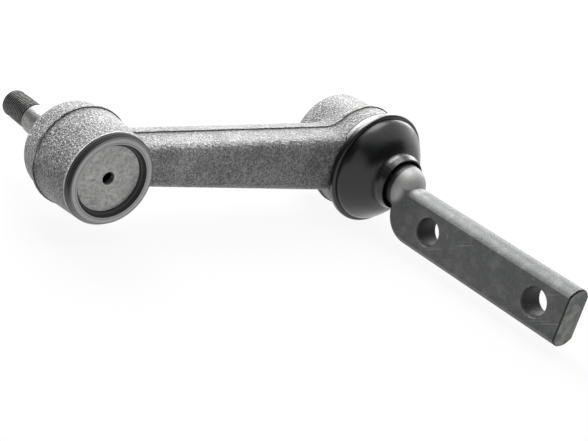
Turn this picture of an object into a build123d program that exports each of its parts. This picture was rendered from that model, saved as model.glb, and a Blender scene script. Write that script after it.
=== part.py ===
from build123d import *
import os
from math import asin, cos, radians, sqrt, tan

# Idler-type steering arm: a forged arm that turns on the round shank of a frame bracket and carries a
# tapered ball stud. Millimetres. The row frame has X along the arm, Y along the pivot and stud axes
# (+Y on the stud's side) and Z up as the arm lies. The origin is the middle of the two bolt holes.

# Clearances
press_gap = 0.02
running_gap = 0.04
seat_gap = 0.1
rubber_gap = 0.3

# Bracket bar
bolt_spacing = 68.5
bolt_hole_d = 13.5
bolt_hole_chamfer = 0.7
bar_width = 28.6
bar_thickness = 14.2
bar_edge_radius = 8.6
bar_inner_margin = 29.4
bar_outer_margin = 16.6
bar_corner_radius = 15.0
bar_end_chamfer = 0.7
bar_top_rise = 3.2

# Bracket shank
shank_d = 22.0
shank_reach = 18.6
shank_nose_setback = 0.6
shank_blend_radius = 3.0
journal_shoulder_d = 31.0
shank_end_chamfer = 0.8
shank_end_land = 1.8
end_clearance = 0.9
collar_d = 34.0
collar_thickness = 4.2

# Arm, sized at its parting plane
arm_length = 165.4
arm_near_depth = 13.0
arm_far_depth = 11.4
arm_height_at_socket = 20.4
arm_height_at_pivot = 32.6
arm_draft_angle = 6.0
arm_edge_round = 4.5
arm_flare_radius = 18.0
socket_blend_radius = 4.0
parting_step = 0.3

# Pivot boss, from the bracket's side to the closed far end
pivot_near_depth = 16.9
pivot_far_depth = 23.6
register_d = 48.0
register_length = 3.6
band_d = 53.8
band_length = 4.0
band_blend = 2.2
pivot_boss_d = 53.0
boss_draft_angle = 3.6
pivot_end_round = 3.0

# Pivot bearing stack
bush_wall = 2.5
near_bush_length = 12.8
far_bush_length = 9.0
seal_width = 4.0
seal_depth = 3.1
thrust_washer_thickness = 1.6
near_thrust_washer_d = 38.0
far_thrust_washer_d = 34.0
spring_chamber_d = 37.0
disc_spring_height = 1.6
disc_spring_thickness = 0.8
disc_spring_outer_d = 32.0
disc_spring_inner_d = 24.0
retaining_ring_d = 28.0
retaining_ring_thickness = 1.4
retaining_groove_depth = 1.3
retaining_ring_gap_angle = 40.0

# End cover of the pivot boss
end_cover_d = 40.4
end_cover_thickness = 2.6
end_cover_recess = 2.5
rim_lip = 1.6
rim_flare = 1.8

# Ball socket
socket_near_depth = 25.4
socket_far_depth = 19.1
socket_boss_d = 45.2
socket_rim_d = 41.6
socket_rim_face_d = 38.9
socket_rim_length = 2.2
socket_far_d = 42.0
socket_nose_d = 29.8
socket_nose_length = 7.5
socket_nose_round = 8.0
socket_bore_d = 32.0
socket_cover_recess = 2.9
socket_cover_thickness = 3.0
socket_lip = 1.2
socket_rim_flare = 1.8

# Ball stud
ball_d = 25.4
stud_swing = 12.0
stud_neck_d = 14.0
taper_large_d = 15.8
taper_small_d = 13.65
taper_start = 22.8
taper_length = 17.2
thread_d = 12.7
thread_relief_d = 11.6
thread_relief_length = 1.0
thread_length = 19.2
thread_chamfer = 1.6
cotter_hole_d = 3.4
cotter_hole_from_tip = 4.4
cotter_hole_turn = 35.0
cotter_hole_sink = 0.9
mouth_gap = 0.9

# Socket bearings
seat_opening_extra = 2.0
pressure_seat_back = 3.6
preload_spring_thickness = 1.2
preload_spring_inner_d = 12.0
grease_hole_d = 5.5
grease_hole_chamfer = 0.5
seat_grease_hole_d = 4.0

# Dust boot
boot_flange_d = 58.2
boot_flange_thickness = 3.6
boot_flange_round = 1.1
boot_wall = 2.2
boot_flange_lip = 1.9
boot_neck_d = 29.0
boot_bell_length = 12.6
boot_lip_length = 5.4
boot_lip_d = 26.6
boot_lip_flare = 1.3
boot_end_clearance = 1.0

# Places worked out from the sizes
pivot_x = 0.0
pivot_z = bar_width / 2 - bar_top_rise
socket_x = -arm_length
bar_inner_y = bolt_spacing / 2 + bar_inner_margin
bar_outer_y = -bolt_spacing / 2 - bar_outer_margin
pivot_near_y = bar_inner_y + shank_reach
arm_plane_y = pivot_near_y + pivot_near_depth
pivot_far_y = arm_plane_y + pivot_far_depth
socket_near_y = arm_plane_y - socket_near_depth
socket_far_y = arm_plane_y + socket_far_depth
ball_y = arm_plane_y
PIVOT = (pivot_x, pivot_z)
SOCKET = (socket_x, pivot_z)

# The stack along the pivot, worked back from the end cover and forward from the open end
end_cover_y = pivot_far_y - end_cover_recess - end_cover_thickness
shank_end_y = end_cover_y - end_clearance
retaining_ring_y = shank_end_y - shank_end_land - seat_gap - retaining_ring_thickness
disc_spring_y = retaining_ring_y - seat_gap - disc_spring_height
far_washer_y = disc_spring_y - seat_gap - thrust_washer_thickness
spring_chamber_y = far_washer_y - seat_gap
far_bush_y = spring_chamber_y - far_bush_length
seal_y = pivot_near_y + seat_gap
near_bush_y = pivot_near_y + seal_depth
near_washer_y = pivot_near_y - seat_gap - thrust_washer_thickness
collar_y = near_washer_y - seat_gap - collar_thickness
bush_bore_d = shank_d + 2 * running_gap
bush_d = bush_bore_d + 2 * bush_wall
boot_front_y = pivot_near_y + register_length - seat_gap - boot_flange_thickness
boot_bell_y = boot_front_y - boot_bell_length
boot_tip_y = boot_bell_y - boot_lip_length
socket_cover_y = socket_near_y + socket_cover_recess
spring_y = socket_cover_y + socket_cover_thickness + seat_gap


def turned(profile, at, rounds=(), angle=360.0):
    """Revolves (radius, y) points about the Y axis through the point at = (x, z)."""
    sketch = make_face(Polyline(*profile, close=True))
    for (radius, y), size in rounds:
        corner = sketch.vertices().sort_by_distance((radius, y, 0))[0]
        sketch = fillet(corner, size)
    return Pos(at[0], 0, at[1]) * revolve(sketch, Axis.Y, angle)


def ring(outer_d, inner_d, y, length, at):
    """A plain ring or bush from y to y + length."""
    outer, inner = outer_d / 2, inner_d / 2
    return turned([(inner, y), (outer, y), (outer, y + length), (inner, y + length)], at)


def cone_washer(outer_d, inner_d, y, height, thickness, at):
    """A disc spring: its outer rim stands at y and its inner rim at y + height."""
    outer, inner = outer_d / 2, inner_d / 2
    rise = height - thickness
    profile = [(outer, y), (outer, y + thickness), (inner, y + rise + thickness), (inner, y + rise)]
    return turned(profile, at)


def bar_section(y):
    """The bar's section across Y: two flats and two round edges."""
    half_w, half_t = bar_width / 2, bar_thickness / 2
    centre = half_w - bar_edge_radius
    edge = centre + sqrt(bar_edge_radius**2 - half_t**2)
    plane = Plane(origin=(0, y, 0), x_dir=(1, 0, 0), z_dir=(0, -1, 0))
    outline = [
        ThreePointArc((half_t, edge), (0, half_w), (-half_t, edge)),
        Line((-half_t, edge), (-half_t, -edge)),
        ThreePointArc((-half_t, -edge), (0, -half_w), (half_t, -edge)),
        Line((half_t, -edge), (half_t, edge)),
    ]
    return plane * make_face(outline)


def make_bar():
    """The flat bar, crowned along both long edges and round its inner end, square at its outer end."""
    corner_y, corner_z = bar_inner_y - bar_corner_radius, bar_corner_radius - bar_width / 2
    turn = Axis((0, corner_y, corner_z), (1, 0, 0))
    whole = extrude(bar_section(bar_outer_y), bar_inner_y - bar_outer_y, dir=(0, 1, 0))
    straight = whole & Pos(0, corner_y, 0) * Box(
        2 * bar_thickness, bar_inner_y - bar_outer_y, 2 * bar_width, align=(Align.CENTER, Align.MAX, Align.CENTER)
    )
    straight = chamfer(straight.faces().sort_by(Axis.Y)[0].edges(), bar_end_chamfer)
    below = Pos(0, corner_y, corner_z) * Box(
        2 * bar_thickness, 1, 2 * bar_width, align=(Align.CENTER, Align.CENTER, Align.MAX)
    )
    edge = bar_section(corner_y) & below
    corner = revolve(edge, turn, 90)
    end = extrude(edge.rotate(turn, 90), bar_width, dir=(0, 0, 1)) & whole
    return straight + corner + end


def make_bracket():
    """The forged bracket: round shank with a thrust collar, and the offset flat bar."""
    bar = make_bar()
    r = shank_d / 2
    groove_r = r - retaining_groove_depth
    groove_end = retaining_ring_y + retaining_ring_thickness + seat_gap
    # The nose is a ball of the shank's own size, cut flat where it is hidden in the bar
    nose_y = bar_inner_y - shank_nose_setback
    tip_r, tip_y = r / 4, nose_y - r * sqrt(15 / 16)
    body = make_face(
        Curve()
        + [
            Polyline(
                (tip_r, tip_y),
                (0, tip_y),
                (0, shank_end_y),
                (r - shank_end_chamfer, shank_end_y),
                (r, shank_end_y - shank_end_chamfer),
                (r, groove_end),
                (groove_r, groove_end),
                (groove_r, retaining_ring_y - seat_gap),
                (r, retaining_ring_y - seat_gap),
                (r, collar_y + collar_thickness),
                (collar_d / 2, collar_y + collar_thickness),
                (collar_d / 2, collar_y),
                (r, collar_y),
                (r, nose_y),
            ),
            ThreePointArc((r, nose_y), (r * sqrt(0.5), nose_y - r * sqrt(0.5)), (tip_r, tip_y)),
        ]
    )
    shank = Pos(pivot_x, 0, pivot_z) * revolve(body, Axis.Y)
    bracket = bar + shank
    bracket = fillet(new_edges(bar, shank, combined=bracket), shank_blend_radius)
    # The journal is turned up to a flat shoulder just short of the boot's lip
    shoulder_y = boot_tip_y - boot_end_clearance
    bracket -= ring(journal_shoulder_d, shank_d, shoulder_y, collar_y - shoulder_y, PIVOT)
    for y in (-bolt_spacing / 2, bolt_spacing / 2):
        hole = Pos(0, y, 0) * Rot(0, 90, 0) * Cylinder(bolt_hole_d / 2, 2 * bar_thickness)
        bracket -= hole
        for side_sign in (-1, 1):
            top = bolt_hole_d / 2 + bolt_hole_chamfer
            cone = Cone(bolt_hole_d / 2, top, bolt_hole_chamfer)
            face = bar_thickness / 2 - bolt_hole_chamfer / 2
            bracket -= Pos(side_sign * face, y, 0) * Rot(0, 90 * side_sign, 0) * cone
    return bracket


def arm_outline(shrink, socket_flare):
    """The beam and its bosses in the parting plane, with a flare where the beam runs into a boss."""
    half_s, half_p = arm_height_at_socket / 2 - shrink, arm_height_at_pivot / 2 - shrink
    radius_s, radius_p = socket_boss_d / 2 - shrink, pivot_boss_d / 2 - shrink
    middle = arm_length / 2
    outline = make_face(
        Polyline((0, half_s), (arm_length, half_p), (arm_length, -half_p), (0, -half_s), close=True)
    )
    outline += Pos(arm_length, 0) * Circle(radius_p)
    corners = [v for v in outline.vertices() if middle < v.X < arm_length - radius_p / 2]
    outline = fillet(corners, arm_flare_radius)
    if socket_flare:
        outline += Circle(radius_s)
        corners = [v for v in outline.vertices() if radius_s / 2 < v.X < (radius_s + middle) / 2]
        outline = fillet(corners, socket_flare)
    return outline


def arm_beam(depth, direction, shrink, socket_flare=0.0):
    """The beam on one side of the parting plane, with draft and rounded edges."""
    plane = Plane(origin=(socket_x, arm_plane_y, pivot_z), x_dir=(1, 0, 0), z_dir=(0, direction, 0))
    beam = extrude(plane * arm_outline(shrink, socket_flare), depth, taper=arm_draft_angle)
    face = beam.faces().sort_by(Axis.Y)[0 if direction < 0 else -1]
    return fillet(face.edges(), arm_edge_round)


def make_arm():
    """The forged arm with its two bosses, bored, turned and with both rims rolled over their covers."""
    rs, rp, step = socket_boss_d / 2, pivot_boss_d / 2, parting_step
    rim_y = socket_near_y + socket_rim_length
    nose_y = socket_far_y - socket_nose_length
    band_y = pivot_near_y + register_length
    band_end_y = band_y + band_length
    draft = tan(radians(boss_draft_angle))
    end_r = rp - step - draft * pivot_far_depth
    blend_y = band_end_y + band_blend
    socket_near = turned(
        [
            (0, socket_near_y),
            (socket_rim_face_d / 2, socket_near_y),
            (socket_rim_d / 2, rim_y),
            (rs, arm_plane_y),
            (0, arm_plane_y),
        ],
        SOCKET,
    )
    pivot_near = turned(
        [
            (0, pivot_near_y),
            (register_d / 2, pivot_near_y),
            (register_d / 2, band_y),
            (band_d / 2, band_y),
            (band_d / 2, band_end_y),
            (rp - draft * (arm_plane_y - blend_y), blend_y),
            (rp, arm_plane_y),
            (0, arm_plane_y),
        ],
        PIVOT,
    )
    socket_far = turned(
        [
            (0, arm_plane_y),
            (rs - step, arm_plane_y),
            (socket_far_d / 2, nose_y),
            (socket_nose_d / 2, socket_far_y),
            (0, socket_far_y),
        ],
        SOCKET,
        [((socket_far_d / 2, nose_y), socket_nose_round)],
    )
    pivot_far = turned(
        [(0, arm_plane_y), (rp - step, arm_plane_y), (end_r, pivot_far_y), (0, pivot_far_y)],
        PIVOT,
        [((end_r, pivot_far_y), pivot_end_round)],
    )
    near_beam = arm_beam(arm_near_depth, -1, 0)
    near = near_beam + socket_near
    near = fillet(new_edges(near_beam, socket_near, combined=near), socket_blend_radius)
    near += pivot_near
    far = arm_beam(arm_far_depth, 1, step, socket_blend_radius) + socket_far + pivot_far
    arm = near + far

    # Socket: the bore, the mouth for the stud and the rolled rim
    bore = socket_bore_d / 2
    shoulder_y = ball_y + seat_end()
    mouth_r = mouth_radius(socket_far_y - ball_y) + mouth_gap
    shoulder_r = mouth_radius(shoulder_y - ball_y) + mouth_gap
    arm -= turned(
        [
            (0, socket_near_y - 1),
            (bore - socket_lip + socket_rim_flare + 0.6, socket_near_y - 1),
            (bore - socket_lip, socket_cover_y),
            (bore, socket_cover_y),
            (bore, shoulder_y),
            (shoulder_r, shoulder_y),
            (mouth_r, socket_far_y),
            (mouth_r, socket_far_y + 1),
            (0, socket_far_y + 1),
        ],
        SOCKET,
    )
    # Pivot: seal pocket, bush bore, spring chamber, cover seat and the rolled rim
    seal_r = shank_d / 2 + seal_width + press_gap
    bush_r = bush_d / 2 + press_gap
    cover_r = end_cover_d / 2 + press_gap
    arm -= turned(
        [
            (0, pivot_near_y - 1),
            (seal_r, pivot_near_y - 1),
            (seal_r, near_bush_y),
            (bush_r, near_bush_y),
            (bush_r, spring_chamber_y),
            (spring_chamber_d / 2, spring_chamber_y),
            (spring_chamber_d / 2, end_cover_y),
            (cover_r, end_cover_y),
            (cover_r, end_cover_y + end_cover_thickness),
            (cover_r - rim_lip, end_cover_y + end_cover_thickness),
            (cover_r - rim_lip + rim_flare, pivot_far_y),
            (cover_r - rim_lip + rim_flare, pivot_far_y + 1),
            (0, pivot_far_y + 1),
        ],
        PIVOT,
    )
    return arm


def mouth_radius(distance):
    """How far the stud's neck reaches from the axis at its full swing, this far from the ball's centre."""
    a = radians(stud_swing)
    return distance * tan(a) + stud_neck_d / 2 / cos(a)


def seat_end():
    """Distance from the ball's centre to the end of the stud-side seat."""
    open_angle = asin(stud_neck_d / ball_d) + radians(stud_swing + seat_opening_extra)
    return ball_d / 2 * cos(open_angle)


def make_ball_stud():
    """The ball with its neck, taper, thread relief, thread at its major size, and cotter hole."""
    r = ball_d / 2
    neck = stud_neck_d / 2
    neck_y = sqrt(r**2 - neck**2)
    taper_end = taper_start + taper_length
    tip = taper_end + thread_relief_length + thread_length
    back = sqrt(r**2 - (0.35 * r) ** 2)
    profile = make_face(
        Curve()
        + [
            Line((0, -back), (0.35 * r, -back)),
            ThreePointArc((0.35 * r, -back), (r, 0), (neck, neck_y)),
            Polyline(
                (neck, neck_y),
                (neck, taper_start - (taper_large_d / 2 - neck)),
                (taper_large_d / 2, taper_start),
                (taper_small_d / 2, taper_end),
                (thread_relief_d / 2, taper_end),
                (thread_relief_d / 2, taper_end + thread_relief_length),
                (thread_d / 2, taper_end + thread_relief_length + 0.6),
                (thread_d / 2, tip - thread_chamfer),
                (thread_d / 2 - thread_chamfer, tip),
                (0, tip),
                (0, -back),
            ),
        ]
    )
    stud = revolve(profile, Axis.Y)
    hole_y = tip - cotter_hole_from_tip
    turn = Pos(0, hole_y, 0) * Rot(0, cotter_hole_turn, 0)
    stud -= turn * Cylinder(cotter_hole_d / 2, 2 * thread_d)
    for side in (turn, turn * Rot(180, 0, 0)):
        sink = Cone(cotter_hole_d / 2, cotter_hole_d / 2 + cotter_hole_sink, cotter_hole_sink)
        stud -= side * Pos(0, 0, thread_d / 2 - cotter_hole_sink / 2 + 0.1) * sink
    return Pos(socket_x, ball_y, pivot_z) * stud


def make_stud_seat():
    """The hardened bearing ring between the ball and the socket's shoulder."""
    outer = socket_bore_d / 2 - press_gap
    end = seat_end()
    ring_body = turned(
        [(4, ball_y + 0.2), (outer, ball_y + 0.2), (outer, ball_y + end), (4, ball_y + end)], SOCKET
    )
    return ring_body - ball_space()


def make_pressure_seat():
    """The bearing cup that the spring presses onto the ball, with its grease hole."""
    outer = socket_bore_d / 2 - running_gap
    back_y = ball_y - ball_d / 2 - pressure_seat_back
    hole = seat_grease_hole_d / 2
    cup = turned([(hole, back_y), (outer, back_y), (outer, ball_y - 0.3), (hole, ball_y - 0.3)], SOCKET)
    return cup - ball_space()


def ball_space():
    """The ball with its running clearance, to cut the seats with."""
    return Pos(socket_x, ball_y, pivot_z) * Sphere(ball_d / 2 + running_gap)


def make_dust_boot():
    """The bell-shaped rubber boot, seated on the register of the pivot boss."""
    fit = register_d / 2 + press_gap
    flange_r = boot_flange_d / 2
    front_y, bell_y, tip_y = boot_front_y, boot_bell_y, boot_tip_y
    back_y = front_y + boot_flange_thickness
    land_y = pivot_near_y - 0.2
    bell_r, neck_r, lip_r = flange_r - boot_flange_lip, boot_neck_d / 2, boot_lip_d / 2
    hold_r = shank_d / 2 + rubber_gap
    run, rise = bell_r - neck_r, boot_bell_length
    outer = [(bell_r - run * u, front_y - rise * v) for u, v in ((0, 0), (0.16, 0.32), (0.45, 0.64), (1, 1))]
    wall = boot_wall
    inner = [
        (fit - 0.8, land_y),
        (outer[1][0] - 0.9 * wall, outer[1][1] + 0.35 * wall),
        (outer[2][0] - 0.8 * wall, outer[2][1] + 0.65 * wall),
        (hold_r + 0.9, bell_y + wall + 0.2),
    ]
    profile = make_face(
        Curve()
        + [
            Polyline(
                inner[0],
                (fit, land_y),
                (fit, back_y),
                (flange_r, back_y),
                (flange_r, front_y),
                outer[0],
            ),
            Spline(*outer, tangents=((-0.1, -1), (-1, -0.35))),
            Polyline(
                outer[3],
                (neck_r - 0.15, bell_y - 0.5 * boot_lip_length),
                (lip_r, tip_y),
                (hold_r + boot_lip_flare, tip_y),
                (hold_r, tip_y + 2.6),
                (hold_r, bell_y + 1.2),
                inner[3],
            ),
            Spline(inner[3], inner[2], inner[1], inner[0]),
        ]
    )
    for y in (back_y, front_y):
        corner = profile.vertices().sort_by_distance((flange_r, y, 0))[0]
        profile = fillet(corner, boot_flange_round)
    return Pos(pivot_x, 0, pivot_z) * revolve(profile, Axis.Y)


def make_cover(diameter, thickness, y, at, outside):
    """A round cover plate with a tapped hole in its middle for a grease fitting, countersunk outside."""
    cover = ring(diameter, grease_hole_d, y, thickness, at)
    hole = grease_hole_d / 2
    face_y = y if outside < 0 else y + thickness
    sink = [
        (0, face_y - outside * grease_hole_chamfer),
        (hole, face_y - outside * grease_hole_chamfer),
        (hole + grease_hole_chamfer, face_y),
        (0, face_y),
    ]
    return cover - turned(sink, at)


def make_retaining_ring():
    """The open ring in the groove at the shank's end."""
    inner, outer = shank_d / 2 - retaining_groove_depth + press_gap, retaining_ring_d / 2
    y0, y1 = retaining_ring_y, retaining_ring_y + retaining_ring_thickness
    profile = [(inner, y0), (outer, y0), (outer, y1), (inner, y1)]
    return turned(profile, PIVOT, angle=360 - retaining_ring_gap_angle)


pieces = {
    "bracket": make_bracket(),
    "near_thrust_washer": ring(
        near_thrust_washer_d, bush_bore_d + 2 * seat_gap, near_washer_y, thrust_washer_thickness, PIVOT
    ),
    "far_thrust_washer": ring(
        far_thrust_washer_d, bush_bore_d + 2 * seat_gap, far_washer_y, thrust_washer_thickness, PIVOT
    ),
    "disc_spring": cone_washer(
        disc_spring_outer_d, disc_spring_inner_d, disc_spring_y, disc_spring_height, disc_spring_thickness, PIVOT
    ),
    "retaining_ring": make_retaining_ring(),
    "arm": make_arm(),
    "near_bush": ring(bush_d, bush_bore_d, near_bush_y, near_bush_length, PIVOT),
    "far_bush": ring(bush_d, bush_bore_d, far_bush_y, far_bush_length, PIVOT),
    "shaft_seal": ring(
        shank_d + 2 * seal_width, shank_d + 2 * rubber_gap, seal_y, seal_depth - 2 * seat_gap, PIVOT
    ),
    "end_cover": make_cover(end_cover_d, end_cover_thickness, end_cover_y, PIVOT, 1),
    "dust_boot": make_dust_boot(),
    "ball_stud": make_ball_stud(),
    "stud_seat": make_stud_seat(),
    "pressure_seat": make_pressure_seat(),
    "preload_spring": cone_washer(
        socket_bore_d - 1.6,
        preload_spring_inner_d,
        spring_y,
        ball_y - ball_d / 2 - pressure_seat_back - seat_gap - spring_y,
        preload_spring_thickness,
        SOCKET,
    ),
    "socket_cover": make_cover(
        socket_bore_d - 2 * press_gap, socket_cover_thickness, socket_cover_y, SOCKET, -1
    ),
}

os.makedirs("parts", exist_ok=True)
for name, piece in pieces.items():
    export_step(piece, f"parts/{name}.step")
    print(name, round(piece.volume), "mm3")
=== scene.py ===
from math import cos, pi, radians, sin, sqrt

import bmesh
import bpy
from mathutils import Matrix, Vector, noise


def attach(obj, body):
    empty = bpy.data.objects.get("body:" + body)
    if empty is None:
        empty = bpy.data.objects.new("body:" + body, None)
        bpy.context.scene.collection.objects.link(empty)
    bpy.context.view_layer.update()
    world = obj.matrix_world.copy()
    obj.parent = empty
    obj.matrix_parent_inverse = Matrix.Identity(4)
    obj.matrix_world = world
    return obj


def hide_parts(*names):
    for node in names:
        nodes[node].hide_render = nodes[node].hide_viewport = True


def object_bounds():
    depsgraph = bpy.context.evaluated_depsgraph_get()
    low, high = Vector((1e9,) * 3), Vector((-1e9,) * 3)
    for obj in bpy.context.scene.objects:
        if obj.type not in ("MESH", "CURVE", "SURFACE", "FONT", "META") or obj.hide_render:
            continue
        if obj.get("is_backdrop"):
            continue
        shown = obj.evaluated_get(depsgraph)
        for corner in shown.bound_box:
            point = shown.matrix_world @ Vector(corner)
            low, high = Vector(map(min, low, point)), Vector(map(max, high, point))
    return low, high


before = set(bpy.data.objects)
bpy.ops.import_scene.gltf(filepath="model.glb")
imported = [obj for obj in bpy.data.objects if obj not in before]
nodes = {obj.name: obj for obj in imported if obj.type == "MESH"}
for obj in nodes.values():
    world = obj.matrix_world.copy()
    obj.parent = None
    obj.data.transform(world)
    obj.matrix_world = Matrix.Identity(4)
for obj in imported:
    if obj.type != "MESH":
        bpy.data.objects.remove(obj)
cad_low, cad_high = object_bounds()

# Arm: a steel forging, left as it came from the dies, with a grainy scaled skin and a dark parting line.
# Only its bores, its rims and the band under the boot are turned. The socket's rim has a painted highlight, a
# thin light line along its corner, and painted shade: a dark band outside its face that fades downward, and a
# dark wall in the recess inside its lip.
pivot_axis = (0.0, 0.0111)
socket_axis = (-0.1654, 0.0111)
socket_side_x = -0.12
parting_y = 0.09915
parting_half_width = 0.00022
socket_rim_y = 0.0766
socket_rim_face_radius = 0.0194
rim_band_radius = 0.0222
rim_lip_radius = 0.0166
rim_corner_width = 0.0007
fade_half_height = 0.010
faded_share = 0.25
socket_bore_radius = 0.0161
pivot_boss_radius = 0.0272
pivot_band_y = 0.0897
pivot_rim_y = 0.1206
pivot_bore_radius = 0.0187
skin_relief = 0.0026
scale_dark = (0.110, 0.110, 0.110, 1)
scale_mid = (0.245, 0.245, 0.243, 1)
scale_light = (0.47, 0.47, 0.465, 1)
parting_dark = (0.030, 0.030, 0.030, 1)
turned_steel = (0.25, 0.25, 0.25, 1)
rim_steel = (0.42, 0.42, 0.42, 1)
turned_shadow = (0.010, 0.010, 0.010, 1)
rim_corner_highlight = (0.66, 0.66, 0.655, 1)


def shader_group(name, inputs, outputs):
    """Starts a shader node group with named value sockets and returns it with its input and output nodes."""
    group = bpy.data.node_groups.new(name, "ShaderNodeTree")
    for label, value in inputs.items():
        socket = group.interface.new_socket(label, in_out="INPUT", socket_type="NodeSocketFloat")
        socket.default_value = value
    for label in outputs:
        group.interface.new_socket(label, in_out="OUTPUT", socket_type="NodeSocketFloat")
    return group, group.nodes.new("NodeGroupInput").outputs, group.nodes.new("NodeGroupOutput").inputs


def fill(tree, node, inputs):
    """Sets a node's inputs, each to a plain value or to a link."""
    for key, value in inputs.items():
        if isinstance(value, bpy.types.NodeSocket):
            tree.links.new(value, node.inputs[key])
        else:
            node.inputs[key].default_value = value


def wire(tree, kind, inputs=None, **settings):
    """Adds a shader node with its settings and its inputs."""
    node = tree.nodes.new("ShaderNode" + kind)
    for key, value in settings.items():
        setattr(node, key, value)
    fill(tree, node, inputs or {})
    return node


def place(tree, group, **values):
    """Places a shader node group in a material with its own values."""
    inputs = {key.replace("_", " ").title(): value for key, value in values.items()}
    return wire(tree, "Group", inputs, node_tree=group).outputs


def reckon(tree, operation, *values):
    """One step of arithmetic on values that change over the surface."""
    return wire(tree, "Math", dict(enumerate(values)), operation=operation).outputs[0]


def times(tree, first, second):
    """Two values multiplied."""
    return reckon(tree, "MULTIPLY", first, second)


def minus(tree, first, second):
    """The first value less the second."""
    return reckon(tree, "SUBTRACT", first, second)


def largest(tree, *values):
    """The largest of two or more values."""
    found = values[0]
    for value in values[1:]:
        found = reckon(tree, "MAXIMUM", found, value)
    return found


def stretch(tree, value, gain, start):
    """A value times a gain, plus a start, kept between 0 and 1."""
    node = wire(tree, "Math", {0: value, 1: gain, 2: start}, operation="MULTIPLY_ADD", use_clamp=True)
    return node.outputs[0]


def distance(tree, first, second):
    """How far a place lies from an axis, from its offsets in two directions."""
    squares = reckon(tree, "ADD", times(tree, first, first), times(tree, second, second))
    return reckon(tree, "SQRT", squares)


def blend_colour(tree, share, first, second):
    """The first colour where share is 0 and the second where it is 1."""
    return wire(tree, "Mix", {0: share, 6: first, 7: second}, data_type="RGBA").outputs[2]


def blend_value(tree, share, first, second):
    """The first value where share is 0 and the second where it is 1."""
    return wire(tree, "Mix", {0: share, 2: first, 3: second}, data_type="FLOAT").outputs[0]


def tones(tree, value, *stops):
    """A colour that follows a value through (value, colour) stops."""
    ramp = wire(tree, "ValToRGB", {0: value})
    while len(ramp.color_ramp.elements) < len(stops):
        ramp.color_ramp.elements.new(0.5)
    for element, (position, colour) in zip(ramp.color_ramp.elements, stops):
        element.position = position
        element.color = colour
    return ramp.outputs[0]


def spot_on(tree):
    """The place on the piece in metres, in the frame that all pieces share."""
    return wire(tree, "TexCoord").outputs["Object"]


def axes(tree):
    """The place on the piece in metres, as its three values X, Y and Z."""
    return wire(tree, "SeparateXYZ", {0: spot_on(tree)}).outputs


def mottling(tree, scale, detail, roughness=0.5):
    """Cloudy noise over the piece, as a value round 0.5."""
    inputs = {"Vector": spot_on(tree), "Scale": scale, "Detail": detail, "Roughness": roughness}
    return wire(tree, "TexNoise", inputs).outputs["Fac"]


def new_material(name):
    """A material and its node tree."""
    made = bpy.data.materials.new(name)
    made.use_nodes = True
    return made, made.node_tree


def finish(tree, colour, metallic, roughness, height, depth):
    """Wires the changing colour, metal share, roughness and relief into a material's own shader."""
    bump = wire(tree, "Bump", {"Strength": 1.0, "Distance": depth, "Height": height})
    values = {"Base Color": colour, "Metallic": metallic, "Roughness": roughness, "Normal": bump.outputs[0]}
    fill(tree, tree.nodes["Principled BSDF"], values)


def dress(made, *names):
    """Puts a material on CAD nodes."""
    for name in names:
        mesh = nodes[name].data
        mesh.materials.clear()
        mesh.materials.append(made)


# Scale: grains of oxide on a forging, with wider dull patches.
scale_skin, given, result = shader_group("scale_skin", {"Grain": 1300.0, "Patch": 70.0}, ("Tone", "Height"))
fine = mottling(scale_skin, given["Grain"], 3.0, roughness=0.6)
coarse = mottling(scale_skin, times(scale_skin, given["Grain"], 0.52), 2.0)
patch = mottling(scale_skin, given["Patch"], 3.0)
tone = 0.5
for grains, share in ((fine, 1.7), (coarse, 1.2), (patch, 0.5)):
    swing = minus(scale_skin, grains, 0.5)
    tone = reckon(scale_skin, "ADD", tone, times(scale_skin, swing, share))
scale_skin.links.new(tone, result["Tone"])
scale_skin.links.new(blend_value(scale_skin, 0.58, fine, coarse), result["Height"])

# Turning: distance from a turned surface's axis, and the fine rings that the tool leaves round it.
turning_inputs = {"Axis X": 0.0, "Axis Z": 0.0, "Rings": 1500.0, "Feed": 1500.0}
turning, given, result = shader_group("turning", turning_inputs, ("Radius", "Height"))
part = axes(turning)
off_x = minus(turning, part["X"], given["Axis X"])
off_z = minus(turning, part["Z"], given["Axis Z"])
radius = distance(turning, off_x, off_z)
tool_path = times(turning, part["Y"], given["Feed"])
tool_path = reckon(turning, "ADD", times(turning, radius, given["Rings"]), tool_path)
ring_noise = wire(turning, "TexNoise", {"W": tool_path, "Scale": 1.0, "Detail": 2.0}, noise_dimensions="1D")
turning.links.new(radius, result["Radius"])
turning.links.new(ring_noise.outputs["Fac"], result["Height"])

# Band: 1 where a value lies between two limits, with soft ends.
band, given, result = shader_group("band", {"Value": 0.0, "Low": 0.0, "High": 1.0, "Soft": 0.0002}, ("Mask",))
rise = reckon(band, "DIVIDE", minus(band, given["Value"], given["Low"]), given["Soft"])
fall = reckon(band, "DIVIDE", minus(band, given["High"], given["Value"]), given["Soft"])
band.links.new(stretch(band, reckon(band, "MINIMUM", rise, fall), 0.5, 0.5), result["Mask"])

# In metres: how soft a band's ends are, and a limit past every piece.
soft_edge = 0.0002
past_all = 1.0


def between(tree, value, low, high, soft=soft_edge):
    """1 where a value lies between two limits, and 0 elsewhere."""
    return place(tree, band, value=value, low=low, high=high, soft=soft)["Mask"]


def below(tree, value, limit, soft=soft_edge):
    """1 where a value lies below a limit, and 0 elsewhere."""
    return between(tree, value, -past_all, limit, soft)


def above(tree, value, limit, soft=soft_edge):
    """1 where a value lies above a limit, and 0 elsewhere."""
    return between(tree, value, limit, past_all, soft)


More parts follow.
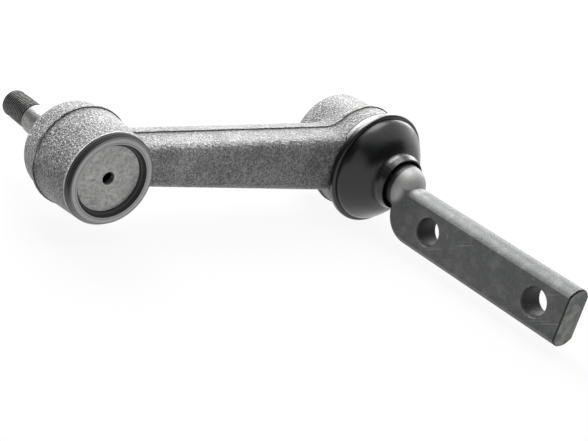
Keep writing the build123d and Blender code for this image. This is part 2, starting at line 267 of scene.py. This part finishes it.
forging, tree = new_material("forged_scale")
part = axes(tree)
skin = place(tree, scale_skin, grain=1800.0, patch=55.0)
at_socket = place(tree, turning, axis_x=socket_axis[0], axis_z=socket_axis[1])
at_pivot = place(tree, turning, axis_x=pivot_axis[0], axis_z=pivot_axis[1])
socket_side = below(tree, part["X"], socket_side_x)
socket_front = below(tree, part["Y"], socket_rim_y)
socket_bore = below(tree, at_socket["Radius"], socket_bore_radius)
pivot_side = below(tree, at_pivot["Radius"], pivot_boss_radius)
pivot_front = below(tree, part["Y"], pivot_band_y)
pivot_end = above(tree, part["Y"], pivot_rim_y)
pivot_bore = below(tree, at_pivot["Radius"], pivot_bore_radius)
turned_socket = times(tree, socket_side, largest(tree, socket_front, socket_bore))
turned_pivot = times(tree, pivot_side, largest(tree, pivot_bore, pivot_front, pivot_end))
turned = largest(tree, turned_socket, turned_pivot)
tool_rings = blend_value(tree, socket_side, at_pivot["Height"], at_socket["Height"])

# Painted shade: a dark band outside the socket rim's face, darker towards the top, and the dark wall of the
# recess inside the rim's lip.
rim_band = between(tree, at_socket["Radius"], socket_rim_face_radius, rim_band_radius, soft=0.0003)
fade_limits = {1: -fade_half_height, 2: fade_half_height, 3: faded_share, 4: 1.0}
fading = wire(tree, "MapRange", {0: part["Z"], **fade_limits})
recess_wall_shade = below(tree, at_socket["Radius"], rim_lip_radius, soft=0.00012)
rim_shadow = largest(tree, times(tree, rim_band, fading.outputs[0]), recess_wall_shade)
rim_shadow = times(tree, rim_shadow, socket_side)
# Painted highlight: a thin light line along the corner of the socket's rim.
rim_corner = between(tree, part["Y"], socket_rim_y, socket_rim_y + rim_corner_width)
rim_corner = times(tree, rim_corner, socket_side)
parting_band = (parting_y - parting_half_width, parting_y + parting_half_width)
parting = between(tree, part["Y"], *parting_band, soft=0.00015)
parting = times(tree, parting, stretch(tree, mottling(tree, 260.0, 2.0), 3.6, -1.5))

skin_colour = tones(tree, skin["Tone"], (0.22, scale_dark), (0.5, scale_mid), (0.85, scale_light))
skin_colour = blend_colour(tree, times(tree, parting, 0.7), skin_colour, parting_dark)
skin_colour = blend_colour(tree, rim_corner, skin_colour, rim_corner_highlight)
turned_colour = blend_colour(tree, socket_side, turned_steel, rim_steel)
turned_colour = blend_colour(tree, rim_shadow, turned_colour, turned_shadow)
turned_colour = blend_colour(tree, stretch(tree, tool_rings, 3.2, -1.45), turned_colour, scale_dark)
colour = blend_colour(tree, turned, skin_colour, turned_colour)
skin_metallic = stretch(tree, skin["Tone"], 0.40, 0.25)
turned_metallic = blend_value(tree, rim_shadow, 0.6, 0.0)
metallic = blend_value(tree, turned, skin_metallic, turned_metallic)
skin_roughness = stretch(tree, skin["Tone"], -0.16, 0.48)
turned_roughness = blend_value(tree, rim_shadow, 0.44, 0.8)
roughness = blend_value(tree, turned, skin_roughness, turned_roughness)
height = blend_value(tree, turned, skin["Height"], times(tree, tool_rings, 0.06))
finish(tree, colour, metallic, roughness, height, skin_relief)
dress(forging, "arm")

# Trimmed flash: the thin ragged ridge that stands where the two dies met, all round the arm. It is the arm's
# own steel, squeezed out between the dies and trimmed off close to the skin.
flash_height = 0.00022
flash_step = 0.0006
flash_cut_y = parting_y - 0.0001
rag_scale = 900
sway_scale = 260
rag_depth = 1.5
least_height = 0.1
sway_reach = 0.00018
weld_distance = 0.000001

# The ridge's four edges: along Y, off the skin, and share of its height.
flash_profile = ((-0.00034, -0.0005, 0.0), (-0.00022, 0.0, 1.0), (0.00008, 0.0, 0.8), (0.0007, -0.0006, 0.0))
section = bmesh.new()
section.from_mesh(nodes["arm"].data)
bmesh.ops.remove_doubles(section, verts=section.verts, dist=weld_distance)
cut = bmesh.ops.bisect_plane(
    section,
    geom=section.verts[:] + section.edges[:] + section.faces[:],
    plane_co=(0, flash_cut_y, 0),
    plane_no=(0, 1, 0),
)
neighbours = {}
for item in cut["geom_cut"]:
    if isinstance(item, bmesh.types.BMEdge):
        first, second = item.verts
        neighbours.setdefault(first, []).append(second)
        neighbours.setdefault(second, []).append(first)
start = min(neighbours, key=lambda vert: vert.co.x)
outline = [start]
while True:
    onward = [vert for vert in neighbours[outline[-1]] if vert not in outline[-2:]]
    if not onward or onward[0] is start:
        break
    outline.append(onward[0])
corners = [vert.co.copy() for vert in outline]
section.free()

line = []
for first, second in zip(corners, corners[1:] + corners[:1]):
    pieces = max(1, round((second - first).length / flash_step))
    line += [first.lerp(second, i / pieces) for i in range(pieces)]
ridge = bmesh.new()
rows = []
for i, point in enumerate(line):
    forward = line[(i + 1) % len(line)] - line[i - 1]
    outward = Vector((forward.z, 0, -forward.x)).normalized()
    ragged = noise.fractal(point * rag_scale, 0.8, 2.0, 2)
    high = flash_height * max(least_height, 1.0 + rag_depth * ragged)
    sway = sway_reach * noise.noise(point * sway_scale + Vector((5, 5, 5)))
    row = []
    for along, off, share in flash_profile:
        spot = point + outward * (off + share * high)
        spot.y = parting_y + along + sway
        spot.x = max(spot.x, cad_low[0])
        row.append(ridge.verts.new(spot))
    rows.append(row)
for first, second in zip(rows, rows[1:] + rows[:1]):
    for i in range(len(first)):
        onward = (i + 1) % len(first)
        ridge.faces.new((first[i], first[onward], second[onward], second[i]))
bmesh.ops.recalc_face_normals(ridge, faces=ridge.faces)
flash_mesh = bpy.data.meshes.new("arm_trimmed_flash")
ridge.to_mesh(flash_mesh)
ridge.free()
flash_mesh.materials.append(forging)
flash = bpy.data.objects.new("arm_trimmed_flash", flash_mesh)
bpy.context.scene.collection.objects.link(flash)
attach(flash, "arm")

# Bushes, thrust washers and seats: hardened steel rings, ground on their faces and pressed or laid in their
# bores. Grease leaves a faint brown film on them.
greasy_steel = (0.30, 0.27, 0.22, 1)
ground_steel = (0.55, 0.55, 0.54, 1)
ground, tree = new_material("ground_bearing_steel")
lines = place(tree, turning, axis_x=pivot_axis[0], axis_z=pivot_axis[1], rings=2600.0, feed=2600.0)
film = place(tree, scale_skin, grain=300.0, patch=90.0)["Tone"]
colour = tones(tree, film, (0.2, greasy_steel), (0.7, ground_steel))
roughness = stretch(tree, lines["Height"], 0.2, 0.16)
finish(tree, colour, 0.95, roughness, lines["Height"], 0.00005)
dress(ground, "near_bush", "far_bush", "near_thrust_washer", "far_thrust_washer")
dress(ground, "stud_seat", "pressure_seat")

# Bracket: one forging, its flat bar coined smooth and its shank turned, then oxidised dark all over. Handling
# has left faint scratches and rubbed its edges, and its sawn end is blotchy. The shank is lighter steel where
# it leaves the bar, partly a painted highlight of the light from above, and carries painted shade in a dark
# ring by the boot's lip. The bolt holes' walls and the sawn end's chamfer are painted dark as shade.
bar_end_y = -0.0508
bar_chamfer_y = -0.05012
bar_half_thickness = 0.0072
bolt_hole_y = 0.03425
bolt_hole_radius = 0.0070
shank_top_z = 0.0118
shank_root_y = 0.0500
shank_ring_y = (0.0608, 0.0672)
shank_off_face = 0.0009
journal_y = 0.0630
crisp_edge = 0.00005
oxide_dark = (0.074, 0.076, 0.077, 1)
oxide_light = (0.118, 0.120, 0.120, 1)
oxide_stain = (0.170, 0.172, 0.170, 1)
sawn_dark = (0.085, 0.092, 0.084, 1)
sawn_light = (0.210, 0.222, 0.205, 1)
hole_wall_shade = (0.024, 0.024, 0.024, 1)
end_chamfer_shade = (0.016, 0.016, 0.016, 1)
shank_steel_and_highlight = (0.42, 0.42, 0.417, 1)
journal_steel = (0.42, 0.42, 0.41, 1)
lip_shade_dark = (0.022, 0.022, 0.022, 1)
scratched_steel = (0.27, 0.27, 0.27, 1)
rubbed_steel = (0.36, 0.36, 0.36, 1)

# Rubbed edges: bright where a wide rounding would turn the surface, at sharp corners only.
rubbed_edges, given, result = shader_group("rubbed_edges", {"Width": 0.0005, "Gain": 6.0}, ("Mask",))
rounded = wire(rubbed_edges, "Bevel", {"Radius": given["Width"]}, samples=4)
flat = wire(rubbed_edges, "NewGeometry").outputs["Normal"]
alike = wire(rubbed_edges, "VectorMath", {0: rounded.outputs[0], 1: flat}, operation="DOT_PRODUCT")
turned_by = minus(rubbed_edges, 1.0, alike.outputs["Value"])
rubbed_edges.links.new(stretch(rubbed_edges, turned_by, given["Gain"], -0.1), result["Mask"])

# Scratches: thin, long and few, in three directions.
scratches, given, result = shader_group("scratches", {"Share": 0.5, "Fineness": 900.0}, ("Mask",))
spot = spot_on(scratches)
limit = minus(scratches, 0.80, times(scratches, given["Share"], 0.16))
marks = []
for tilt, twist in ((0.5, 0.0), (-0.9, 3.0), (1.9, 7.0)):
    swung = wire(scratches, "Mapping", {"Vector": spot, "Rotation": (tilt, 0.2, twist)}).outputs[0]
    thin = wire(scratches, "VectorMath", {0: swung, 1: (0.5, 0.035, 1.0)}, operation="MULTIPLY").outputs[0]
    streak = wire(scratches, "TexNoise", {"Vector": thin, "Scale": given["Fineness"], "Detail": 1.0})
    marks.append(times(scratches, minus(scratches, streak.outputs["Fac"], limit), 14.0))
scratches.links.new(stretch(scratches, largest(scratches, *marks), 1.0, 0.0), result["Mask"])

oxidised, tree = new_material("oxidised_bracket_steel")
part = axes(tree)
skin = place(tree, scale_skin, grain=1700.0, patch=45.0)
stain = mottling(tree, 210.0, 4.0)
scratch = place(tree, scratches, share=0.55)["Mask"]
edge = place(tree, rubbed_edges)["Mask"]
end_face = below(tree, part["Y"], bar_end_y, soft=crisp_edge)
# Painted shade: the chamfer round the sawn end is dark.
end_chamfer = between(tree, part["Y"], bar_end_y, bar_chamfer_y, soft=crisp_edge)
journal = above(tree, part["Y"], journal_y)
off_side = minus(tree, reckon(tree, "ABSOLUTE", part["X"]), bar_half_thickness)
off_face = largest(tree, off_side, minus(tree, part["Z"], shank_top_z))
on_shank = above(tree, off_face, shank_off_face, soft=0.0008)
# Lighter steel where the shank leaves the bar, partly a painted highlight of the light from above.
shank_light_and_highlight = times(tree, between(tree, part["Y"], shank_root_y, shank_ring_y[0], soft=0.003), on_shank)
# Painted shade: a dark ring on the shank where the boot's lip shades it.
lip_shade_ring = between(tree, part["Y"], *shank_ring_y, soft=0.0004)
# Painted shade: the bolt holes' walls are dark.
near_hole = distance(tree, minus(tree, part["Y"], bolt_hole_y), part["Z"])
far_hole = distance(tree, minus(tree, part["Y"], -bolt_hole_y), part["Z"])
hole_wall = below(tree, reckon(tree, "MINIMUM", near_hole, far_hole), bolt_hole_radius)

colour = tones(tree, skin["Tone"], (0.1, oxide_dark), (0.9, oxide_light))
colour = blend_colour(tree, stretch(tree, stain, 2.4, -1.12), colour, oxide_stain)
colour = blend_colour(tree, end_face, colour, tones(tree, stain, (0.40, sawn_dark), (0.62, sawn_light)))
colour = blend_colour(tree, hole_wall, colour, hole_wall_shade)
colour = blend_colour(tree, end_chamfer, colour, end_chamfer_shade)
colour = blend_colour(tree, shank_light_and_highlight, colour, shank_steel_and_highlight)
colour = blend_colour(tree, journal, colour, journal_steel)
colour = blend_colour(tree, lip_shade_ring, colour, lip_shade_dark)
colour = blend_colour(tree, times(tree, scratch, 0.55), colour, scratched_steel)
rubbed = times(tree, edge, minus(tree, 0.7, end_chamfer))
colour = blend_colour(tree, rubbed, colour, rubbed_steel)
metallic = stretch(tree, largest(tree, edge, journal), 0.5, 0.30)
roughness = blend_value(tree, hole_wall, stretch(tree, skin["Tone"], 0.14, 0.42), 0.55)
height = minus(tree, times(tree, skin["Height"], 0.5), times(tree, scratch, 0.2))
finish(tree, colour, metallic, roughness, height, 0.00018)
dress(oxidised, "bracket")

# Spring washers and retaining ring: stamped from spring steel, with a grey-black phosphate coat that is worn
# through at their edges.
phosphate_dark = (0.035, 0.036, 0.038, 1)
phosphate_light = (0.10, 0.10, 0.105, 1)
worn_spring = (0.35, 0.35, 0.35, 1)
phosphate, tree = new_material("phosphated_spring_steel")
skin = place(tree, scale_skin, grain=3600.0, patch=140.0)
edge = place(tree, rubbed_edges, width=0.0002)["Mask"]
colour = tones(tree, skin["Tone"], (0.2, phosphate_dark), (0.9, phosphate_light))
colour = blend_colour(tree, times(tree, edge, 0.6), colour, worn_spring)
finish(tree, colour, 0.5, stretch(tree, skin["Tone"], 0.2, 0.42), skin["Height"], 0.0001)
dress(phosphate, "disc_spring", "retaining_ring", "preload_spring")

# Covers: round plates stamped from plain sheet, laid in at each closed end and held by the rim rolled over
# them. Each has a small tapped hole for grease, with painted shade inside it and a painted highlight on its
# chamfer.
cover_axes = {"socket_cover": socket_axis, "end_cover": pivot_axis}
grease_hole_radius = 0.00275
grease_hole_chamfer = 0.0006
tap_pitch = 0.000907
sheet_dark = (0.28, 0.28, 0.28, 1)
sheet_light = (0.49, 0.49, 0.48, 1)
sheet_stain = (0.10, 0.10, 0.10, 1)
sheet_scratch = (0.42, 0.42, 0.42, 1)
sheet_edge = (0.45, 0.45, 0.45, 1)
grease_chamfer_highlight = (0.62, 0.62, 0.61, 1)
tapped_hole_shade = (0.05, 0.05, 0.05, 1)
for name, axis in cover_axes.items():
    plate, tree = new_material(name + "_sheet")
    part = axes(tree)
    skin = place(tree, scale_skin, grain=900.0, patch=110.0)
    lines = place(tree, turning, axis_x=axis[0], axis_z=axis[1])
    scratch = place(tree, scratches, share=0.75, fineness=1300.0)["Mask"]
    edge = place(tree, rubbed_edges, width=0.0003)["Mask"]
    hole = below(tree, lines["Radius"], grease_hole_radius + 0.0001)
    # Painted highlight on the grease hole's chamfer.
    chamfer = between(tree, lines["Radius"], grease_hole_radius, grease_hole_radius + grease_hole_chamfer)
    stain = stretch(tree, mottling(tree, 330.0, 3.0), 9.0, -5.5)
    off_x = minus(tree, part["X"], axis[0])
    angle = reckon(tree, "ARCTAN2", off_x, minus(tree, part["Z"], axis[1]))
    pitches = reckon(tree, "DIVIDE", part["Y"], tap_pitch)
    turns = reckon(tree, "ADD", pitches, reckon(tree, "DIVIDE", angle, 2 * pi))
    thread = reckon(tree, "PINGPONG", turns, 0.5)
    colour = tones(tree, skin["Tone"], (0.15, sheet_dark), (0.85, sheet_light))
    colour = blend_colour(tree, times(tree, stain, 0.4), colour, sheet_stain)
    colour = blend_colour(tree, times(tree, scratch, 0.4), colour, sheet_scratch)
    colour = blend_colour(tree, times(tree, edge, 0.6), colour, sheet_edge)
    colour = blend_colour(tree, times(tree, chamfer, 0.8), colour, grease_chamfer_highlight)
    # Painted shade inside the tapped hole.
    colour = blend_colour(tree, hole, colour, tapped_hole_shade)
    height = blend_value(tree, hole, times(tree, skin["Height"], 0.3), times(tree, thread, 4.0))
    finish(tree, colour, 0.55, stretch(tree, skin["Tone"], -0.12, 0.46), height, 0.00025)
    dress(plate, name)

# Shaft seal and dust boot: moulded black rubber, the seal matt and the boot with a waxy satin coat.
# The boot's lip carries fine moulding streaks, and a little dust lies on it.
boot_lip_y = 0.0697
rubber_black = (0.003, 0.0033, 0.004, 1)
rubber_dust = (0.021, 0.022, 0.026, 1)
rubber_streak = (0.075, 0.077, 0.082, 1)
for name, shine, dust_share, wax in (("shaft_seal", 0.62, 0.5, 0.0), ("dust_boot", 0.32, 1.0, 0.75)):
    rubber, tree = new_material(name + "_rubber")
    part = axes(tree)
    skin = place(tree, scale_skin, grain=2400.0, patch=60.0)
    lines = place(tree, turning, axis_x=pivot_axis[0], axis_z=pivot_axis[1], rings=500.0, feed=500.0)
    angle = reckon(tree, "ARCTAN2", part["X"], minus(tree, part["Z"], pivot_axis[1]))
    streaks = wire(tree, "TexNoise", {"W": angle, "Scale": 42.0, "Detail": 3.0}, noise_dimensions="1D")
    on_lip = below(tree, part["Y"], boot_lip_y, soft=0.0006)
    dust = stretch(tree, skin["Tone"], 0.5 * dust_share, -0.18)
    colour = blend_colour(tree, dust, rubber_black, rubber_dust)
    lip_streaks = times(tree, on_lip, stretch(tree, streaks.outputs["Fac"], 3.0, -1.4))
    colour = blend_colour(tree, lip_streaks, colour, rubber_streak)
    roughness = stretch(tree, lines["Height"], 0.16, shine - 0.08)
    height = blend_value(tree, 0.75, lines["Height"], skin["Height"])
    finish(tree, colour, 0.0, roughness, height, 0.00012)
    shader = tree.nodes["Principled BSDF"]
    shader.inputs["Coat Weight"].default_value = wax
    shader.inputs["Coat Roughness"].default_value = 0.24
    shader.inputs["Specular IOR Level"].default_value = 0.2
    dress(rubber, name)

# Ball stud: turned from bar, with a ground ball and taper and a rolled 20-per-inch thread, blackened at its
# end. The cross hole is drilled through the thread and countersunk on both sides.
stud_columns = 120
ball_rows = 24
ball_radius = 0.0127
ball_flat_share = 0.35
neck_radius = 0.0070
taper_radii = (0.0079, 0.006825)
taper_from, taper_to = 0.0228, 0.0400
relief_radius = 0.0058
thread_from, thread_to = 0.0410, 0.0602
thread_radius = 0.00635
thread_depth = 0.00062
thread_pitch = 0.00127
thread_chamfer = 0.0016
crest_depth = 0.00013
thread_profile = ((0.0, 0.0), (0.14, 0.0), (0.46, 1.0), (0.68, 1.0))
cutter_columns = 48
cross_hole_radius = 0.0017
cross_hole_sink = 0.0009
cross_hole_from_end = 0.0044
cross_hole_turn = radians(35)
cutter_reach = 0.002
sharp_angle = radians(24)
thread_black = (0.018, 0.018, 0.018, 1)
thread_grey = (0.055, 0.055, 0.054, 1)
worn_crest = (0.34, 0.34, 0.33, 1)
sink_edge = (0.30, 0.30, 0.29, 1)
taper_dark = (0.10, 0.10, 0.10, 1)
taper_mid = (0.24, 0.24, 0.237, 1)
taper_bright = (0.44, 0.44, 0.43, 1)


def stud_ring(mesh, radius, along):
    """One ring of points round the stud's axis, the last on the first."""
    angles = [2 * pi * i / stud_columns for i in range(stud_columns + 1)]
    return [mesh.verts.new((radius * sin(a), along, radius * cos(a))) for a in angles]


def join_rings(mesh, first, second):
    """Faces between two rings of points."""
    for i in range(stud_columns):
        mesh.faces.new((first[i], first[i + 1], second[i + 1], second[i]))


def thread_rings(mesh):
    """The rows that follow a 60 degree thread with flat crests and roots, cut off by both chamfers."""
    turns = int((thread_to - thread_from) / thread_pitch) + 2
    rows = []
    for turn in range(-1, turns):
        for share, depth in thread_profile:
            row = []
            for i in range(stud_columns + 1):
                angle = 2 * pi * i / stud_columns
                along = thread_from + thread_pitch * (turn + share + i / stud_columns)
                radius = thread_radius - depth * thread_depth
                radius = min(radius, thread_radius - (along - thread_to + thread_chamfer))
                radius = min(radius, relief_radius + max(0.0, along - thread_from))
                if along <= thread_from:
                    along, radius = thread_from, relief_radius
                if along >= thread_to:
                    along, radius = thread_to, thread_radius - thread_chamfer
                row.append(mesh.verts.new((radius * sin(angle), along, radius * cos(angle))))
            rows.append(row)
    return rows


def lathe_cutter(profile, placed):
    """A closed turned cutter round Z from (radius, height) points, from its bottom point to its top point."""
    angles = [2 * pi * i / cutter_columns for i in range(cutter_columns)]
    mesh = bmesh.new()
    rings = []
    for radius, height in profile:
        rings.append([mesh.verts.new((radius * cos(a), radius * sin(a), height)) for a in angles])
    for low, high in zip(rings, rings[1:]):
        for i in range(cutter_columns):
            onward = (i + 1) % cutter_columns
            mesh.faces.new((low[i], low[onward], high[onward], high[i]))
    mesh.faces.new(rings[0][::-1])
    mesh.faces.new(rings[-1])
    data = bpy.data.meshes.new("cross_hole_cutter")
    mesh.to_mesh(data)
    mesh.free()
    data.transform(placed)
    cutter = bpy.data.objects.new("cross_hole_cutter", data)
    bpy.context.scene.collection.objects.link(cutter)
    return cutter


back_of_ball = sqrt(ball_radius**2 - (ball_flat_share * ball_radius) ** 2)
neck_at = sqrt(ball_radius**2 - neck_radius**2)
blank = bmesh.new()
rings = []
for i in range(ball_rows + 1):
    along = -back_of_ball + (neck_at + back_of_ball) * (0.5 - 0.5 * cos(pi * i / ball_rows))
    rings.append(stud_ring(blank, sqrt(ball_radius**2 - along**2), along))
for radius, along in (
    (neck_radius, taper_from - (taper_radii[0] - neck_radius)),
    (taper_radii[0], taper_from),
    (taper_radii[1], taper_to),
    (relief_radius, taper_to),
    (relief_radius, thread_from),
):
    rings.append(stud_ring(blank, radius, along))
rings += thread_rings(blank)
for first, second in zip(rings, rings[1:]):
    join_rings(blank, first, second)
blank.faces.new(rings[0][:stud_columns])
blank.faces.new(rings[-1][:stud_columns])
bmesh.ops.remove_doubles(blank, verts=blank.verts, dist=weld_distance)
bmesh.ops.dissolve_degenerate(blank, edges=blank.edges, dist=weld_distance)
bmesh.ops.recalc_face_normals(blank, faces=blank.faces)
stud_mesh = bpy.data.meshes.new("ball_stud_threaded")
blank.to_mesh(stud_mesh)
blank.free()
stud_place = Matrix.Translation((socket_axis[0], parting_y, socket_axis[1]))
stud_mesh.transform(stud_place)
stud = bpy.data.objects.new("ball_stud_threaded", stud_mesh)
bpy.context.scene.collection.objects.link(stud)

sink_base = thread_radius - cross_hole_sink + 0.0001
sink_top = cross_hole_radius + cross_hole_sink + cutter_reach
hole_profile = (
    (sink_top, -sink_base - cross_hole_sink - cutter_reach),
    (cross_hole_radius, -sink_base),
    (cross_hole_radius, sink_base),
    (sink_top, sink_base + cross_hole_sink + cutter_reach),
)
hole_height = Matrix.Translation((0, thread_to - cross_hole_from_end, 0))
hole_place = stud_place @ hole_height @ Matrix.Rotation(cross_hole_turn, 4, "Y")
cutter = lathe_cutter(hole_profile, hole_place)
drilled = stud.modifiers.new("cross_hole", "BOOLEAN")
drilled.operation = "DIFFERENCE"
drilled.solver = "EXACT"
drilled.object = cutter
depsgraph = bpy.context.evaluated_depsgraph_get()
stud.data = bpy.data.meshes.new_from_object(stud.evaluated_get(depsgraph))
stud.modifiers.clear()
bpy.data.objects.remove(cutter)
for face in stud.data.polygons:
    face.use_smooth = True
stud.data.set_sharp_from_angle(angle=sharp_angle)

blackened, tree = new_material("blackened_stud_steel")
part = axes(tree)
lines = place(tree, turning, axis_x=socket_axis[0], axis_z=socket_axis[1], rings=2200.0, feed=2200.0)
skin = place(tree, scale_skin, grain=1500.0, patch=130.0)
on_thread = above(tree, minus(tree, part["Y"], parting_y), taper_to)
on_crest = above(tree, lines["Radius"], thread_radius - crest_depth, soft=0.00006)
on_sink = place(tree, rubbed_edges, width=0.0003, gain=3.0)["Mask"]
worn = times(tree, on_crest, stretch(tree, skin["Tone"], 0.9, 0.1))
black = tones(tree, skin["Tone"], (0.1, thread_black), (0.95, thread_grey))
black = blend_colour(tree, worn, black, worn_crest)
black = blend_colour(tree, times(tree, on_sink, 0.25), black, sink_edge)
bright = tones(tree, skin["Tone"], (0.0, taper_dark), (0.5, taper_mid), (1.0, taper_bright))
colour = blend_colour(tree, on_thread, bright, black)
metallic = blend_value(tree, on_thread, 0.75, 0.5)
roughness = blend_value(tree, on_thread, 0.36, 0.42)
finish(tree, colour, metallic, roughness, times(tree, lines["Height"], 0.5), 0.00005)
stud.data.materials.clear()
stud.data.materials.append(blackened)
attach(stud, "stud")
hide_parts("ball_stud")

# Studio: a white sheet under the arm, three softboxes above, on its far side and behind it, and daylight all
# round. The sheet and the daylight look white to the camera and in reflections, and the sheet keeps the arm's
# soft shadow.
sheet_half = 3
floor_z = cad_low[2] - 0.0005
middle_of_arm = Vector((-0.05, 0.06, 0.0))


def matt_material(name, level):
    """A material of one matt grey."""
    made, tree = new_material(name)
    fill(tree, tree.nodes["Principled BSDF"], {"Base Color": (level, level, level, 1), "Roughness": 0.9})
    return made


def flat_board(name, side, end, height, made):
    """A flat rectangle of half sizes side and end, in one material, linked to the scene."""
    corners = [(-side, -end, height), (side, -end, height), (side, end, height), (-side, end, height)]
    data = bpy.data.meshes.new(name)
    data.from_pydata(corners, [], [(0, 1, 2, 3)])
    data.materials.append(made)
    board = bpy.data.objects.new(name, data)
    bpy.context.scene.collection.objects.link(board)
    return board


def facing_arm(stand):
    """The place of something that stands there and faces the middle of the arm."""
    aim = middle_of_arm - Vector(stand)
    return Matrix.Translation(stand) @ aim.to_track_quat("-Z", "Y").to_matrix().to_4x4()


def seen_rays(tree):
    """1 for what the camera, a reflection or a glass sees, and 0 for light that falls on a piece."""
    seen = wire(tree, "LightPath").outputs
    return largest(tree, seen["Is Camera Ray"], seen["Is Glossy Ray"], seen["Is Transmission Ray"])


white = matt_material("studio_white", 0.62)
tree = white.node_tree
glow = wire(tree, "Emission", {"Color": (1, 1, 1, 1), "Strength": 1.0})
sheet_shader = tree.nodes["Principled BSDF"].outputs[0]
glow_share = times(tree, seen_rays(tree), 0.92)
mixed = wire(tree, "MixShader", {0: glow_share, 1: sheet_shader, 2: glow.outputs[0]})
tree.links.new(mixed.outputs[0], tree.nodes["Material Output"].inputs["Surface"])
floor = flat_board("studio_sheet", sheet_half, sheet_half, floor_z, white)
floor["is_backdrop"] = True

daylight = bpy.data.worlds.new("studio_daylight")
daylight.use_nodes = True
tree = daylight.node_tree
strength = blend_value(tree, seen_rays(tree), 0.3, 1.0)
fill(tree, tree.nodes["Background"], {"Strength": strength, "Color": (1, 1, 1, 1)})
bpy.context.scene.world = daylight

for name, stand, width, depth, power in (
    ("softbox_above", (0.02, 0.10, 1.15), 0.75, 0.75, 8.5),
    ("softbox_far_side", (0.02, 0.84, 0.86), 0.8, 0.6, 17.0),
    ("softbox_behind", (0.80, 0.85, 0.55), 1.5, 0.7, 14.0),
):
    lamp = bpy.data.lights.new(name, "AREA")
    lamp.shape = "RECTANGLE"
    lamp.size = width
    lamp.size_y = depth
    lamp.energy = power
    softbox = bpy.data.objects.new(name, lamp)
    softbox.matrix_world = facing_arm(stand)
    bpy.context.scene.collection.objects.link(softbox)

# Black cards: three matt boards on the camera's side and on the left. The camera doesn't see them, but they
# darken reflections and soft light, and so keep the dark sides of the shapes.
card_black = matt_material("card_black", 0.02)
for name, stand, width, depth in (
    ("black_card_front", (0.15, -1.10, 0.66), 2.6, 1.15),
    ("black_card_left", (-1.05, 0.15, 0.50), 2.0, 1.1),
    ("black_card_far_left", (-0.90, 0.95, 0.34), 0.9, 0.55),
):
    card = flat_board(name, width / 2, depth / 2, 0, card_black)
    card.matrix_world = facing_arm(stand)
    card.visible_camera = False
    card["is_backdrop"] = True

# Camera: where the outlines of the rims, the bolt holes and the bar put it, with a long lens.
# Its focal length is known in pixels, for a picture as wide as the photograph.
focal_pixels = 1272.474
photo_width = 588
sensor_width = 36
right = Vector((0.7369, -0.6175, 0.2750)).normalized()
back = Vector((-0.6749, -0.6493, 0.3505)).normalized()
up = back.cross(right).normalized()
right = up.cross(back)
lens = bpy.data.cameras.new("camera")
lens.lens = focal_pixels / photo_width * sensor_width
lens.clip_start = 0.01
camera = bpy.data.objects.new("camera", lens)
camera.matrix_world = Matrix.Translation((-0.4636, -0.3184, 0.2004)) @ Matrix(
    ((right.x, up.x, back.x, 0), (right.y, up.y, back.y, 0), (right.z, up.z, back.z, 0), (0, 0, 0, 1))
)
bpy.context.scene.collection.objects.link(camera)
bpy.context.scene.camera = camera
bpy.context.scene.view_settings.view_transform = "Standard"

low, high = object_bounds()
